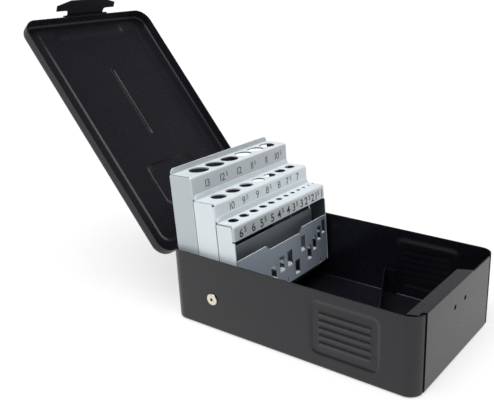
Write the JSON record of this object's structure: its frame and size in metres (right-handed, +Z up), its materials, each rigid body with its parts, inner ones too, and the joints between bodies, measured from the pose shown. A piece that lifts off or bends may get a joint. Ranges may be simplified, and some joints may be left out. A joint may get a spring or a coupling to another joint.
{
  "type": "drill bit case",
  "caption": "Sheet-steel drill case with a hinged lid, a finger latch and a swinging tiered rack whose numbered holes hold graded twist drills.",
  "frame": {"origin": "middle of the case's flat underside", "axes": "+Z up; -Y is the latch side, +Y the hinge side; +X to the right seen from the latch side"},
  "size_m": [0.1102, 0.3065, 0.199],
  "materials": {
    "black_coat": "satin black powder coat",
    "rack_coat": "pale blue-grey enamel, semi-gloss",
    "stop_coat": "blue-grey enamel, semi-gloss",
    "rivet_metal": "nickel-plated, bright",
    "plain_steel": "zinc-plated"
  },
  "bodies": {
    "case": {"case_body": "black_coat", "front_panel": "black_coat", "drill_tip_stop": "black_coat", "pivot_rivet_left": "rivet_metal", "pivot_rivet_right": "rivet_metal", "pivot_bush_left": "plain_steel", "pivot_bush_right": "plain_steel", "body_hinge_leaf": "black_coat", "hinge_pin": "plain_steel"},
    "rack": {"rack_tier_back": "rack_coat", "rack_tier_middle": "rack_coat", "rack_tier_front": "rack_coat", "stop_panel": "stop_coat", "rack_floor_pan": "rack_coat", "guide_plate": "stop_coat"},
    "lid": {"lid_shell": "black_coat", "lid_hinge_leaf": "black_coat", "latch_lugs": "black_coat", "latch_pin": "plain_steel"},
    "latch": {"latch_flap": "black_coat"}
  },
  "joints": [
    {"name": "lid_hinge", "type": "hinge", "parent": "case", "child": "lid", "pos_m": [0, 0.0938, 0.0451], "axis": [1, 0, 0], "range_deg": [0, 129.2]},
    {"name": "rack_pivot", "type": "hinge", "parent": "case", "child": "rack", "pos_m": [0, 0.0549, 0.02201], "axis": [1, 0, 0], "range_deg": [0, 92.6]},
    {"name": "latch_hinge", "type": "hinge", "parent": "lid", "child": "latch", "pos_m": [0, 0.2137, 0.18752], "axis": [1, 0, 0], "range_deg": [-35, 25]}
  ],
  "couplings": [
    {"joint": "rack_pivot", "follows": "lid_hinge", "ratio": 0.7167}
  ]
}
